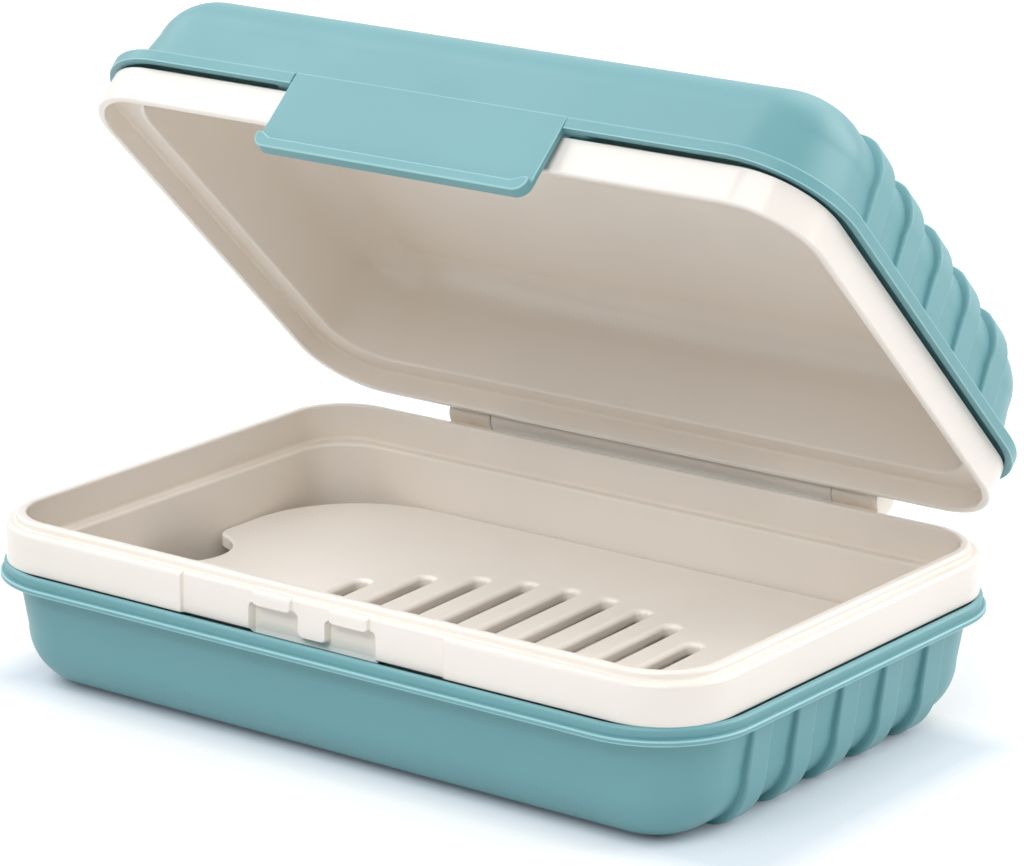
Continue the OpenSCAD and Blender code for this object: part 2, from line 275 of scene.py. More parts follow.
def plate(loops, low, high, place):
    # Each loop is a closed outline and its rounding; the first goes counterclockwise, holes clockwise
    mesh = bmesh.new()
    layer = mesh.verts.layers.float.new("edge")
    ends = {0: [], 1: []}
    for outline, edge in loops:
        points = np.array(outline, float)[:, :2]
        ahead = np.roll(points, -1, 0) - points
        ahead /= np.linalg.norm(ahead, axis=1)[:, None]
        inward = np.column_stack([-ahead[:, 1], ahead[:, 0]])
        inward = inward + np.roll(inward, 1, 0)
        lengths = np.linalg.norm(inward, axis=1)
        inward = inward / lengths[:, None] * (2 / lengths)[:, None]
        turns = [math.radians(90 * k / roundSteps) for k in range(roundSteps + 1)]
        levels = []
        for t in turns:
            # The middle of each rounded edge carries the pale wear and painted highlight
            levels.append((edge * (1 - math.sin(t)), high - edge * (1 - math.cos(t)), math.sin(2 * t)))
        for t in turns:
            levels.append((edge * (1 - math.cos(t)), low + edge * (1 - math.sin(t)), math.sin(2 * t)))
        rings = []
        for offset, level, wornAndLit in levels:
            spots = []
            for p in points + inward * offset:
                spots.append(mesh.verts.new([v * mm for v in place(*p, level)]))
                spots[-1][layer] = wornAndLit
            rings.append(spots)
        for upper, lower in zip(rings, rings[1:]):
            for j in range(len(upper)):
                k = (j + 1) % len(upper)
                mesh.faces.new((upper[j], upper[k], lower[k], lower[j]))
        for end, ring in ((0, rings[0]), (1, rings[-1])):
            for j in range(len(ring)):
                ends[end].append(mesh.edges.get((ring[j], ring[(j + 1) % len(ring)])))
    for edges in ends.values():
        bmesh.ops.triangle_fill(mesh, use_beauty=True, use_dissolve=False, edges=edges)
    return cleaned(mesh)


def joined(name, parts):
    # The first solid with the others added to it
    objects = []
    for i, mesh in enumerate(parts):
        data = bpy.data.meshes.new(name)
        mesh.to_mesh(data)
        mesh.free()
        objects.append(bpy.data.objects.new(name if i == 0 else name + "Part", data))
        bpy.context.scene.collection.objects.link(objects[-1])
    whole = objects[0]
    for other in objects[1:]:
        union = whole.modifiers.new("union", "BOOLEAN")
        union.operation, union.solver, union.object = "UNION", "MANIFOLD", other
    if len(objects) > 1:
        bpy.context.view_layer.update()
        evaluated = whole.evaluated_get(bpy.context.evaluated_depsgraph_get())
        result = bpy.data.meshes.new_from_object(evaluated)
        whole.modifiers.clear()
        whole.data = result
        for other in objects[1:]:
            bpy.data.objects.remove(other)
    return whole


sharpAngle = math.radians(40)


def dress(piece, body, nodes, material, turn=None):
    if turn:
        piece.data.transform(turn)
    piece.data.materials.clear()
    piece.data.materials.append(material)
    piece.data.shade_smooth()
    piece.data.set_sharp_from_angle(angle=sharpAngle)
    weighted = piece.modifiers.new("evenShading", "WEIGHTED_NORMAL")
    weighted.keep_sharp = True
    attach(piece, body)
    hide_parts(*nodes)
    print("made", piece.name, len(piece.data.vertices), "points")


# Materials
plastic = {
    "blue": (0.140, 0.344, 0.377),
    # This and the pale cream below paint both wear and highlight lines on the roundings
    "wornAndLitBlue": (0.36, 0.62, 0.65),
    "cream": (0.825, 0.78, 0.73),
    "wornAndLitCream": (0.90, 0.87, 0.83),
    # Painted shade: a warmer, darker cream for the sheltered insides of the tubs and slots
    "paintedShadeCream": (0.86, 0.76, 0.64),
    "blueRoughness": 0.4,
    "creamRoughness": 0.17,
    "unevenness": (-0.04, 0.05),  # how far the roughness strays in patches
    "patches": 2.2,  # those patches are this many times finer than the colour clouds
    "grain": 0.00035,  # size of the mould's fine texture
    "grainDepth": 0.000004,
    "grainStrength": 0.35,
    "cloud": 0.03,  # size of the faint colour clouds
    "cloudTones": (0.975, 1.02),
    "wearAndHighlight": 0.85,  # how far the edges are worn pale and painted with highlight lines
    "paintedShadeReach": 0.03,  # reach of the painted shade inside the tubs and slots
    "gloss": 1.49,  # index of refraction
}
steelLook = {
    "dark": (0.52, 0.53, 0.55),
    "light": (0.66, 0.67, 0.69),
    "roughness": (0.25, 0.38),
    "streaks": 900,
}


def link(tree, source, target):
    tree.links.new(source, target)


def newMaterial(name):
    material = bpy.data.materials.new(name)
    material.use_nodes = True
    tree = material.node_tree
    shader = tree.nodes["Principled BSDF"]
    return material, tree, shader


def noise(tree, scale, detail=3):
    place = tree.nodes.new("ShaderNodeTexCoord")
    texture = tree.nodes.new("ShaderNodeTexNoise")
    texture.inputs["Scale"].default_value = scale
    texture.inputs["Detail"].default_value = detail
    link(tree, place.outputs["Object"], texture.inputs["Vector"])
    return texture.outputs["Fac"]


def band(tree, source, low, high, outLow, outHigh):
    node = tree.nodes.new("ShaderNodeMapRange")
    for name, value in (("From Min", low), ("From Max", high), ("To Min", outLow), ("To Max", outHigh)):
        node.inputs[name].default_value = value
    link(tree, source, node.inputs["Value"])
    return node.outputs["Result"]


def mixed(tree, factor, first, second):
    node = tree.nodes.new("ShaderNodeMix")
    node.data_type = "RGBA"
    link(tree, factor, node.inputs["Factor"])
    for socket, value in ((node.inputs["A"], first), (node.inputs["B"], second)):
        if isinstance(value, tuple):
            socket.default_value = (*value, 1)
        else:
            link(tree, value, socket)
    return node.outputs["Result"]


def shade(colour, factor):
    return tuple(min(1.0, c * factor) for c in colour)


def mouldedPlastic(name, colour, roughness, wornAndLit, paintedShade=None):
    material, tree, shader = newMaterial(name)
    clouds = band(tree, noise(tree, 1 / plastic["cloud"]), 0.35, 0.65, 0, 1)
    body = mixed(tree, clouds, *[shade(colour, tone) for tone in plastic["cloudTones"]])
    # Painted shade: where the piece shelters itself, inside the tubs and slots, the cream turns warmer and
    # darker
    if paintedShade:
        paintedShadeMask = tree.nodes.new("ShaderNodeAmbientOcclusion")
        paintedShadeMask.only_local = True
        paintedShadeMask.samples = 4
        paintedShadeMask.inputs["Distance"].default_value = plastic["paintedShadeReach"]
        body = mixed(tree, paintedShadeMask.outputs["AO"], paintedShade, body)
    # Pale edges from the mesh's edge attribute: wear and painted highlight lines on the roundings
    edge = tree.nodes.new("ShaderNodeAttribute")
    edge.attribute_name = "edge"
    edges = band(tree, edge.outputs["Fac"], 0, 1, 0, plastic["wearAndHighlight"])
    link(tree, mixed(tree, edges, body, wornAndLit), shader.inputs["Base Color"])
    smoother, rougher = [roughness + v for v in plastic["unevenness"]]
    patches = band(tree, noise(tree, plastic["patches"] / plastic["cloud"], 5), 0.3, 0.7, smoother, rougher)
    link(tree, patches, shader.inputs["Roughness"])
    bump = tree.nodes.new("ShaderNodeBump")
    bump.inputs["Strength"].default_value = plastic["grainStrength"]
    bump.inputs["Distance"].default_value = plastic["grainDepth"]
    link(tree, noise(tree, 1 / plastic["grain"], 2), bump.inputs["Height"])
    link(tree, bump.outputs["Normal"], shader.inputs["Normal"])
    shader.inputs["IOR"].default_value = plastic["gloss"]
    return material


def drawnSteel(name):
    material, tree, shader = newMaterial(name)
    streaks = noise(tree, steelLook["streaks"], 4)
    link(tree, mixed(tree, streaks, steelLook["dark"], steelLook["light"]), shader.inputs["Base Color"])
    link(tree, band(tree, streaks, 0.3, 0.7, *steelLook["roughness"]), shader.inputs["Roughness"])
    shader.inputs["Metallic"].default_value = 1
    return material


bluePlastic = mouldedPlastic("bluePlastic", plastic["blue"], plastic["blueRoughness"], plastic["wornAndLitBlue"])
creamPlastic = mouldedPlastic(
    "creamPlastic", plastic["cream"], plastic["creamRoughness"], plastic["wornAndLitCream"], plastic["paintedShadeCream"])
steel = drawnSteel("pinSteel")
print("materials made")

# Shells
ribs = {
    "count": 5,
    "pitch": 10.65,
    "width": 4.4,
    "back": 0.45,  # the row is centred this far behind the middle
    "out": 0.85,
    "taper": 0.75,  # share of the height that is left at the flange
    "slope": 0.1,
    "land": 1.4,  # level ground that the outline keeps on each side of a flank
    "frontCrest": 0.45, "frontFoot": 0.08,  # roundings along a rib's front flank and its rear one
    "rearCrest": 0.2, "rearFoot": 0.1,
    "cutOff": 0.1,  # level of the ribs' ends over the flat end
    "rise": 1.8,  # how fast a rib comes to its height as the flat end turns up into the wall
}


def ribSide():
    # Places along an end wall with the height of the ribs there
    half, land = ribs["slope"] / 2, ribs["land"]
    front, rear = [roundOff([
        (-land, 0, 0), (-half, 0, ribs[end + "Foot"]), (half, ribs["out"], ribs[end + "Crest"]),
        (land, ribs["out"], 0)], perTurn=12) for end in ("front", "rear")]
    side = []
    for i in range(ribs["count"]):
        centre = ribs["back"] + (i - (ribs["count"] - 1) / 2) * ribs["pitch"]
        side += [(centre - ribs["width"] / 2 + y, h) for y, h in front]
        side += [(centre + ribs["width"] / 2 - y, h) for y, h in reversed(rear)]
    return side


closeTo = 0.01  # two levels this near each other are the same one


def pullRibs(points, side, lift, weight):
    # A rib has the end wall's own outline, set out and down
    ends = (side == 1) | (side == 3)
    out = lift[ends] * weight
    points[ends, 0] += np.sign(points[ends, 0]) * out
    if points[0, 2] < box["edge"] + closeTo:
        level = points[ends, 2]
        points[ends, 2] = np.maximum(level - out, np.minimum(level, ribs["cutOff"]))


def plainFront():
    return [(x, 0) for x in spread(-box["straightX"], box["straightX"], box["stepX"])]


def plainEnd():
    return [(y, 0) for y in spread(-box["straightY"], box["straightY"], box["stepY"])]


def backwards(side):
    return list(reversed(side))


def shellProfile(flangeLow, wallTop, flange):
    # From the middle of the flat end, over the flange and back inside.
    # Each corner is its inset, z, plan radius, share of the ribs' or the catch's relief, and rounding
    inset, draft, wall, edge = [box[k] for k in ("shellInset", "shellDraft", "shellWall", "edge")]
    corner = box["shellCorner"]
    low = inset + draft
    flatIn, flatRadius = low + edge, corner - draft - edge
    outerSteps, innerSteps = 15, 8
    flangeFillet, mouthEdge = 0.5, 0.3
    rounding = []
    for k in range(1, outerSteps):
        t = math.radians(90 * k / outerSteps)
        outwards = edge * math.sin(t)
        share = min(1, ribs["rise"] * math.sin(t))
        rounding.append((flatIn - outwards, edge * (1 - math.cos(t)), flatRadius + outwards, share, 0))
    outside = [(flatIn, 0, flatRadius, 0, 0)] + rounding + [
        (low, edge, corner - draft, 1, 0),
        (inset, flangeLow, corner, ribs["taper"], flangeFillet)]
    innerEdge = edge - wall
    inside = [
        (inset + wall, wallTop, corner - wall, 0, mouthEdge),
        (low + wall, wall + innerEdge, corner - draft - wall, 0, 0)]
    for k in range(1, innerSteps + 1):
        t = math.radians(90 * k / innerSteps)
        inside.append((flatIn - innerEdge * math.cos(t), wall + innerEdge * (1 - math.sin(t)),
                       flatRadius + innerEdge * math.cos(t), 0, 0))
    return outside + flange + inside


def flangeRing(out):
    # Plan radius this far out from the bands, level with the shell's own corners
    return box["shellCorner"] + box["shellInset"] + out


flangeUnder = 0.7  # level part of a flange's underside, in from its face

# The base's flange is a broad foot with a narrower bead on it, and a trench between the bead and the band
baseRim = {
    "foot": 0.25,
    "step": 0.45, "stepDown": 1.75, "stepEdge": 0.25,
    "groove": 0.16, "grooveEdge": 0.08,
    "crown": 0.55,
    "slope": 0.25,
    "trenchOut": 0.4, "trench": 1.2, "trenchEdge": 0.1,
}


def makeBaseShell():
    r = baseRim
    out, upper = flangeOut, flangeOut - r["step"]
    top, low = baseFlangeTop, baseFlangeLow
    stepLevel = top - r["stepDown"]
    flange = [
        (-out + flangeUnder, low, flangeRing(out - flangeUnder), 0, 0),
        (-out, low, flangeRing(out), 0, r["foot"]),
        (-out, stepLevel, flangeRing(out), 0, r["stepEdge"]),
        (-upper + r["groove"], stepLevel, flangeRing(upper), 0, r["grooveEdge"]),
        (-upper, top, flangeRing(upper), 0, r["crown"]),
        (-r["trenchOut"], top - r["slope"], flangeRing(r["trenchOut"]), 0, r["trenchEdge"]),
        (-r["trenchOut"] / 2, top - r["trench"], flangeRing(r["trenchOut"] / 2), 0, 0)]
    sides = [plainFront(), ribSide(), backwards(plainFront()), backwards(ribSide())]
    mesh = loft(shellProfile(low, top - r["trench"], flange), sides, pullRibs)
    dress(joined("baseShell", [mesh]), "base", ["base_shell"], bluePlastic)


makeBaseShell()

# The lid's flange has a pocket in its front face, where the flap hangs
lidRim = {
    "crown": 0.35, "foot": 0.15,
    "pocket": 22.65, "pocketIn": 0.8, "pocketEdge": 0.2, "pocketCorner": 0.15,
    "pocketSlope": 0.02, "pocketLand": 3,
    "trenchOut": 0.5, "trench": 0.9, "trenchEdge": 0.1,
    "noTrench": 26,  # half of the front's middle that has no trench, behind the flap
    "lines": (27, 36, 46),  # cross lines over the front beside the pocket
}


def makeLidShell():
    r = lidRim
    out = flangeOut
    # Drawn from the flat end down, then turned over
    low, top = lidTop - lidFlangeTop, lidTop - lidFlangeLow
    flange = [
        (-out + flangeUnder, low, flangeRing(out - flangeUnder), 0, 0),
        (-out, low, flangeRing(out), 0, r["crown"]),
        (-out, top, flangeRing(out), 0, r["foot"]),
        (-r["trenchOut"], top, flangeRing(r["trenchOut"]), 0, r["trenchEdge"]),
        (-r["trenchOut"] / 2, top - r["trench"], flangeRing(r["trenchOut"] / 2), 0, 0)]
    pocket = roundOff([
        (0, r["pocketIn"], 0),
        (r["pocket"], r["pocketIn"], r["pocketCorner"]),
        (r["pocket"] + r["pocketSlope"], -out, r["pocketEdge"]),
        (r["pocket"] + r["pocketLand"], -out, 0)])
    right = [tuple(p) for p in pocket[1:]] + [(x, -out) for x in r["lines"]]
    front = [(-x, limit) for x, limit in reversed(right)] + [(0, r["pocketIn"])] + right
    trenchTop = top - r["trench"]

    def cutPocket(points, side, lift, weight):
        pullRibs(points, side, lift, weight)
        level = points[0, 2]
        face = side == 0
        if low - closeTo <= level <= top + closeTo:
            points[face, 1] = np.maximum(points[face, 1], -halfWidth + lift[face])
        if abs(level - trenchTop) < closeTo:
            points[face & (np.abs(points[:, 0]) < r["noTrench"]), 2] = top

    sides = [front, ribSide(), backwards(plainFront()), backwards(ribSide())]
    mesh = loft(shellProfile(low, trenchTop, flange), sides, cutPocket)
    for v in mesh.verts:
        v.co.z = lidTop * mm - v.co.z
    bmesh.ops.reverse_faces(mesh, faces=mesh.faces)
    dress(joined("lidShell", [mesh]), "lid", ["lid_shell"], bluePlastic, lidTurn)


makeLidShell()

# Liners
baseLip = {
    "foot": 0.15,
    "faceFrom": 0.2, "faceTo": 0.02,  # the face's own lines keep off its lower edge and its shoulder
    "inset": 1.4, "height": 1.1, "width": 1.5, "lean": 0.1,
    "shoulder": 0.75, "valley": 0.35, "crown": 0.55, "inner": 0.4,
    "ledgeIn": 4.9, "ledgeDown": 4.25, "ledgeFillet": 0.5, "ledgeEdge": 0.45,
}
catch = {
    "landingHalf": 22, "landingIn": 0.5, "landingSoft": 0.35,
    "windowAt": 6.5, "windowHalf": 4.1, "windowTop": 3.75, "windowIn": 1.15, "windowCorner": 0.75,
    "tongueLow": 0.45, "tongueRound": 0.7, "tongueCorner": 0.1,
    "lugHalf": 3.3, "lugLow": 3.6, "lugCorner": 0.7,
    "tall": 3,  # half height of the shapes that run on past the band
    "sunk": 0.8,
    "soft": 0.3,  # width of the eased edges
    "grid": 0.13, "around": (0.8, 0.6),  # the close lines over the windows run on past them this far
    "endGrid": 0.07, "aroundEnd": (0.2, 0.55),
    "lines": (15, 18.5), "farLines": (30, 38, 46),  # the lines between and beyond them
}
hinge = {
    "length": 75.6, "ear": 7.6, "gap": 0.15, "barrel": 2.4, "bore": 1.03, "edge": 0.12, "cap": 0.9,
    "capLap": 0.01,  # an ear's solid cap reaches this far into its bored part
    "capEdge": 0.02, "boreEdge": 0.15,
    "earFrom": -90, "earTo": 215,  # the round part of an ear's outline, in degrees
    "earWeb": (0.1, -1.5), "earDown": 0.05, "earFoot": 1.2,  # its web into the band
    "barrelFrom": 197, "barrelTo": 450,  # the same for the barrel
    "barrelIn": 0.9, "barrelOut": 0.7, "barrelDown": 1, "barrelFoot": (0.4, 0.7),
}


def boxDistance(x, z, cx, cz, hx, hz, r):
    # Signed distance from the edge of a rectangle with rounded corners
    qx, qz = np.abs(x - cx) - hx + r, np.abs(z - cz) - hz + r
    return np.hypot(np.maximum(qx, 0), np.maximum(qz, 0)) + np.minimum(np.maximum(qx, qz), 0) - r


def blended(a, b, k):
    # The nearer of two distances, with the inner corner between them rounded
    h = np.clip(0.5 + 0.5 * (b - a) / k, 0, 1)
    return b * (1 - h) + a * h - k * h * (1 - h)


def catchDepth(x, z):
    # How far the band's front lies behind its face, over the landing, the windows and the lugs
    across, up = np.abs(x), z - baseBandLow
    c = catch
    landing = c["landingIn"] * smooth((c["landingHalf"] + c["landingSoft"] - across) / c["landingSoft"])
    middle, tall = c["windowAt"], c["tall"]
    window = boxDistance(across, up, middle, c["windowTop"] - tall, c["windowHalf"], tall, c["windowCorner"])
    strip = boxDistance(across, up, 0, c["tongueLow"] - tall, middle, tall, c["tongueCorner"])
    window = blended(window, strip, c["tongueRound"])
    depth = landing + c["windowIn"] * smooth(0.5 - window / c["soft"])
    lug = boxDistance(across, up, middle, c["lugLow"] + tall, c["lugHalf"], tall, c["lugCorner"])
    return depth * (1 - smooth(0.5 - lug / c["soft"]))


def pressCatch(points, side, lift, weight):
    front = side == 0
    depth = catchDepth(points[front, 0], points[front, 2]) * weight
    points[front, 1] += depth
    if points[0, 2] < baseBandLow + closeTo:
        # The windows reach down into the flange's trench
        points[front, 2] -= catch["sunk"] * smooth(depth - catch["landingIn"])


tubSteps = 9  # facets round a tub's floor
tubEdge = box["edge"] - box["shellWall"] - box["shellGap"]


def tubRadius(inset):
    # Plan radius that keeps a liner's corners level with the shell's
    return box["shellCorner"] + box["shellInset"] - inset


def linerInside(ledge, floorLevel, ledgeIn, direction):
    # Down the tub's wall and round its floor, from the ledge's edge
    floorRound = tubEdge - box["linerWall"]
    draft = box["linerDraft"]
    inner = tubRadius(ledgeIn)
    line = [(ledgeIn, ledge[0], inner, 0, ledge[1])]
    for k in range(tubSteps + 1):
        t = math.radians(90 * k / tubSteps)
        turned = floorRound * (1 - math.cos(t))
        line.append((ledgeIn + draft + turned, floorLevel + direction * floorRound * (1 - math.sin(t)),
                     inner - draft - turned, 0, 0))
    return line


def linerOutside(foot, bandLevel, ledgeIn, direction):
    # From the flat end to the band's underside
    inset, draft = ledgeIn - box["linerWall"], box["linerDraft"]
    outer = tubRadius(inset)
    line = []
    for k in range(tubSteps + 1):
        t = math.radians(90 * k / tubSteps)
        turned = tubEdge * (1 - math.sin(t))
        line.append((inset + draft + turned, foot + direction * tubEdge * (1 - math.cos(t)),
                     outer - draft - turned, 0, 0))
    return line + [(inset, bandLevel, outer, 0, 0)]


earOuter = hinge["length"] / 2
earInner = earOuter - hinge["ear"]
barrelReach = earInner - hinge["gap"]


def alongX(a, b, c):
    return (c, a, b)


def wholeRound(y, z, radius, perTurn=10):
    return arc(y, z, radius, 0, 360 - perTurn, perTurn)


def pinBore():
    return list(reversed(wholeRound(hingeY, hingeZ, hinge["bore"], 12)))


def earOutline():
    outside, inside = [halfWidth + v for v in hinge["earWeb"]]
    top, low = baseTop - hinge["earDown"], baseBandLow + hinge["earFoot"]
    web = [(outside, top), (inside, top), (inside, low), (halfWidth, low)]
    return arc(hingeY, hingeZ, hinge["barrel"], hinge["earFrom"], hinge["earTo"]) + web


def catchLines():
    # Places along the base liner's front, close together where the windows and the landing's ends are
    c = catch
    low, high = c["windowAt"] - c["windowHalf"], c["windowAt"] + c["windowHalf"]
    windows = spread(low - c["around"][0], high + c["around"][1], c["grid"])
    ends = spread(c["landingHalf"] - c["aroundEnd"][0], c["landingHalf"] + c["aroundEnd"][1], c["endGrid"])
    right = [windows[0] / 2, *windows, *c["lines"], *ends, *c["farLines"]]
    return [(-x, 0) for x in reversed(right)] + [(0, 0)] + [(x, 0) for x in right]


def makeBaseLiner():
    b = baseLip
    corner = box["corner"]
    lipTop = baseTop + b["height"]
    lipIn = b["inset"] + b["width"]
    ledge = baseTop - b["ledgeDown"]
    face = spread(baseBandLow + b["faceFrom"], baseTop - b["shoulder"] - b["faceTo"], catch["grid"])
    profile = linerOutside(box["shellWall"], baseBandLow, b["ledgeIn"], 1)
    profile.append((0, baseBandLow, corner, 1, b["foot"]))
    profile += [(0, z, corner, 1, 0) for z in face]
    profile += [
        (0, baseTop, corner, 1, b["shoulder"]),
        (b["inset"], baseTop, corner - b["inset"], 0, b["valley"]),
        (b["inset"] + b["lean"], lipTop, corner - b["inset"], 0, b["crown"]),
        (lipIn, lipTop, corner - lipIn, 0, b["inner"]),
        (lipIn, ledge, corner - lipIn, 0, b["ledgeFillet"])]
    floorLevel = box["shellWall"] + box["linerWall"]
    profile += linerInside((ledge, b["ledgeEdge"]), floorLevel, b["ledgeIn"], 1)
    sides = [catchLines(), plainEnd(), backwards(plainFront()), backwards(plainEnd())]
    parts = [loft(profile, sides, pressCatch)]
    ear, hole = earOutline(), pinBore()
    capX = earOuter - hinge["cap"]
    for low, high in ((-capX, -earInner), (earInner, capX)):
        parts.append(plate([(ear, hinge["capEdge"]), (hole, hinge["capEdge"])], low, high, alongX))
    lapped = capX - hinge["capLap"]
    for low, high in ((-earOuter, -lapped), (lapped, earOuter)):
        parts.append(plate([(ear, hinge["edge"])], low, high, alongX))
    dress(joined("baseLiner", parts), "base", ["base_liner"], creamPlastic)


makeBaseLiner()

lidLip = {
    "fall": 0.08,  # the band's top falls this much towards its face
    "bandEdge": 0.1,
    "rim": 1.1, "outer": 0.38, "inner": 0.32,
    "ledgeIn": 4.85, "ledgeUp": 3.3, "ledgeFillet": 0.5, "ledgeEdge": 0.45,
}


def barrelOutline():
    inside, top = halfWidth - hinge["barrelIn"], lidBandTop - hinge["barrelDown"]
    footIn, footOut = [rimLow + v for v in hinge["barrelFoot"]]
    outline = [(inside, top), (inside, footIn), (halfWidth + hinge["barrelOut"], footOut)]
    outline += arc(hingeY, hingeZ, hinge["barrel"], hinge["barrelFrom"], hinge["barrelTo"])
    return outline + [(halfWidth, top)]


def makeLidLiner():
    b = lidLip
    corner = box["corner"]
    ledge = rimLow + b["ledgeUp"]
    profile = linerOutside(lidTop - box["shellWall"], lidBandTop, b["ledgeIn"], -1)
    profile += [
        (0, lidBandTop - b["fall"], corner, 0, b["bandEdge"]),
        (0, rimLow, corner, 0, b["outer"]),
        (b["rim"], rimLow, corner - b["rim"], 0, b["inner"]),
        (b["rim"], ledge, corner - b["rim"], 0, b["ledgeFillet"])]
    ceiling = lidTop - box["shellWall"] - box["linerWall"]
    profile += linerInside((ledge, b["ledgeEdge"]), ceiling, b["ledgeIn"], -1)
    sides = [plainFront(), plainEnd(), backwards(plainFront()), backwards(plainEnd())]
    parts = [loft(profile, sides)]
    loops = [(barrelOutline(), hinge["edge"]), (pinBore(), hinge["boreEdge"])]
    parts.append(plate(loops, -barrelReach, barrelReach, alongX))
    dress(joined("lidLiner", parts), "lid", ["lid_liner"], creamPlastic, lidTurn)


makeLidLiner()

# Tray
tray = {
    "cornerRadius": 19, "thickness": 2.1, "edge": 0.45, "slotEdge": 0.75,
    "notchAt": -2.4, "notchOut": 0.7, "notch": 8.1, "horn": 3,
    "slots": 9, "pitch": 6.7, "slotWidth": 2.5, "middle": 4.4, "front": -25,
    "slotLean": 0.044, "leanFrom": -10,  # the slots lean left towards the rear, by this much per millimetre
    "arcTop": 16, "arcRadius": 37, "arcX": 7,  # the arc that the slots' rear ends lie on
    "foot": 3, "footEdge": 0.4,
    "footUp": 0.8,  # the feet reach this far up into the plate
}


def trayOutline():
    # A rounded rectangle with the notch in its left end, between two soft horns
    hx, hy, r = trayHigh[0], trayHigh[1], tray["cornerRadius"]
    ny, big, horn = tray["notchAt"], tray["notch"], tray["horn"]
    run = horn + tray["notchOut"]
    rise = math.sqrt((big + horn) ** 2 - run ** 2)
    turn = math.degrees(math.atan2(rise, run))
    hornX = horn - hx
    line = arc(hx - r, r - hy, r, -90, 0)
    line += arc(hx - r, hy - r, r, 0, 90)
    line += arc(r - hx, hy - r, r, 90, 180)
    line += arc(hornX, ny + rise, horn, 180, 180 + turn)
    line += arc(hornX - run, ny, big, turn, -turn)[1:-1]
    line += arc(hornX, ny - rise, horn, 180 - turn, 180)
    return line + arc(r - hx, r - hy, r, 180, 270)


def slotLoop(x):
    half = tray["slotWidth"] / 2
    rear = tray["arcTop"] - tray["arcRadius"] + math.sqrt(tray["arcRadius"] ** 2 - (x - tray["arcX"]) ** 2)
    corners = [(x - half, tray["front"]), (x - half, rear), (x + half, rear), (x + half, tray["front"])]
    nearlyRound = half * 0.995
    loop = roundOff([(*c, nearlyRound) for c in corners], closed=True, perTurn=12)
    return [(px - tray["slotLean"] * (py - tray["leanFrom"]), py) for px, py in loop]


def upright(a, b, c):
    return (a, b, c)


def makeTray():
    loops = [(trayOutline(), tray["edge"])]
    first = tray["middle"] - (tray["slots"] - 1) / 2 * tray["pitch"]
    for i in range(tray["slots"]):
        loops.append((slotLoop(first + i * tray["pitch"]), tray["slotEdge"]))
    top = trayHigh[2]
    under = top - tray["thickness"]
    parts = [plate(loops, under, top, upright)]
    inset = tray["cornerRadius"] / 2
    for sx in (-1, 1):
        for sy in (-1, 1):
            foot = wholeRound(sx * (trayHigh[0] - inset), sy * (trayHigh[1] - inset), tray["foot"])
            parts.append(plate([(foot, tray["footEdge"])], trayLow[2], under + tray["footUp"], upright))
    dress(joined("soapTray", parts), "tray", ["soap_tray"], creamPlastic)


makeTray()

# Flap
flap = {
    "half": 22.55, "gap": 0.6, "thickness": 1.05, "edge": 0.2, "lift": 0.3, "topCorner": 0.3,
    "ear": 0.03, "earHeight": 3.2, "earRound": 1.9, "earEdge": 0.4, "earCorner": 0.25,
    "lipHeight": 1.6, "lipOut": 0.95, "lipEdge": 0.3, "lipSunk": 0.4, "lipCorner": 0.5,
    "wrapHeight": 2.4, "wrapWidth": 0.95, "wrapStart": 2.5, "wrapOuter": 0.45, "wrapInner": 0.35,
    "hookAt": 6.65, "hookHalf": 3.1, "hookIn": 0.35, "hookHeight": 1.5, "hookTop": 21.5,
    "hookSunk": 0.3, "hookEdge": 0.12,
}


def outward(a, b, c):
    # a along the box, b up, c away from its front
    return (a, -c, b)


def flapLoop(right):
    # The right half's corners, from the lower edge up, and the same on the left
    left = [(-x, z, r) for x, z, r in reversed(right)]
    return [tuple(p) for p in roundOff(right + left, closed=True, perTurn=8)]


def makeFlap():
    f = flap
    low, high = baseFlangeTop + f["lift"], lidFlangeTop
    side, ear = f["half"], f["half"] + f["ear"]
    earTop, wrapTop = low + f["earHeight"], low + f["wrapHeight"]
    back = halfWidth + f["gap"]
    front = back + f["thickness"]
    sheet = flapLoop([
        (ear, low, f["earRound"]), (ear, earTop - f["earEdge"], f["earEdge"]),
        (side, earTop, f["earCorner"]), (side, high, f["topCorner"])])
    bar = flapLoop([
        (ear, low, f["earRound"]), (ear, wrapTop, f["wrapOuter"]),
        (ear - f["wrapWidth"], wrapTop, f["wrapInner"]),
        (ear - f["wrapStart"], low + f["lipHeight"], f["lipCorner"])])
    hookTip, hookRoot = f["hookIn"] - halfWidth, -back - f["hookSunk"]
    hook = [
        (hookTip, f["hookTop"] - f["hookHeight"] / 3), (hookTip, f["hookTop"]),
        (hookRoot, f["hookTop"]), (hookRoot, f["hookTop"] - f["hookHeight"])]
    parts = [plate([(sheet, f["edge"])], back, front, outward)]
    parts.append(plate([(bar, f["lipEdge"])], back + f["lipSunk"], front + f["lipOut"], outward))
    for middle in (-f["hookAt"], f["hookAt"]):
        parts.append(plate([(hook, f["hookEdge"])], middle - f["hookHalf"], middle + f["hookHalf"], alongX))
    dress(joined("latchFlap", parts), "flap", ["latch_flap"], bluePlastic, flapTurn)


makeFlap()

# Pins
pins = {
    "hingeRadius": 1, "hingeEdge": 0.2, "endGap": 0.05,
    "latchRadius": 0.45, "latchEdge": 0.1, "latchHalf": 25.6,
}


def rod(y, z, radius, edge, reach):
    return plate([(wholeRound(y, z, radius), edge)], -reach, reach, alongX)


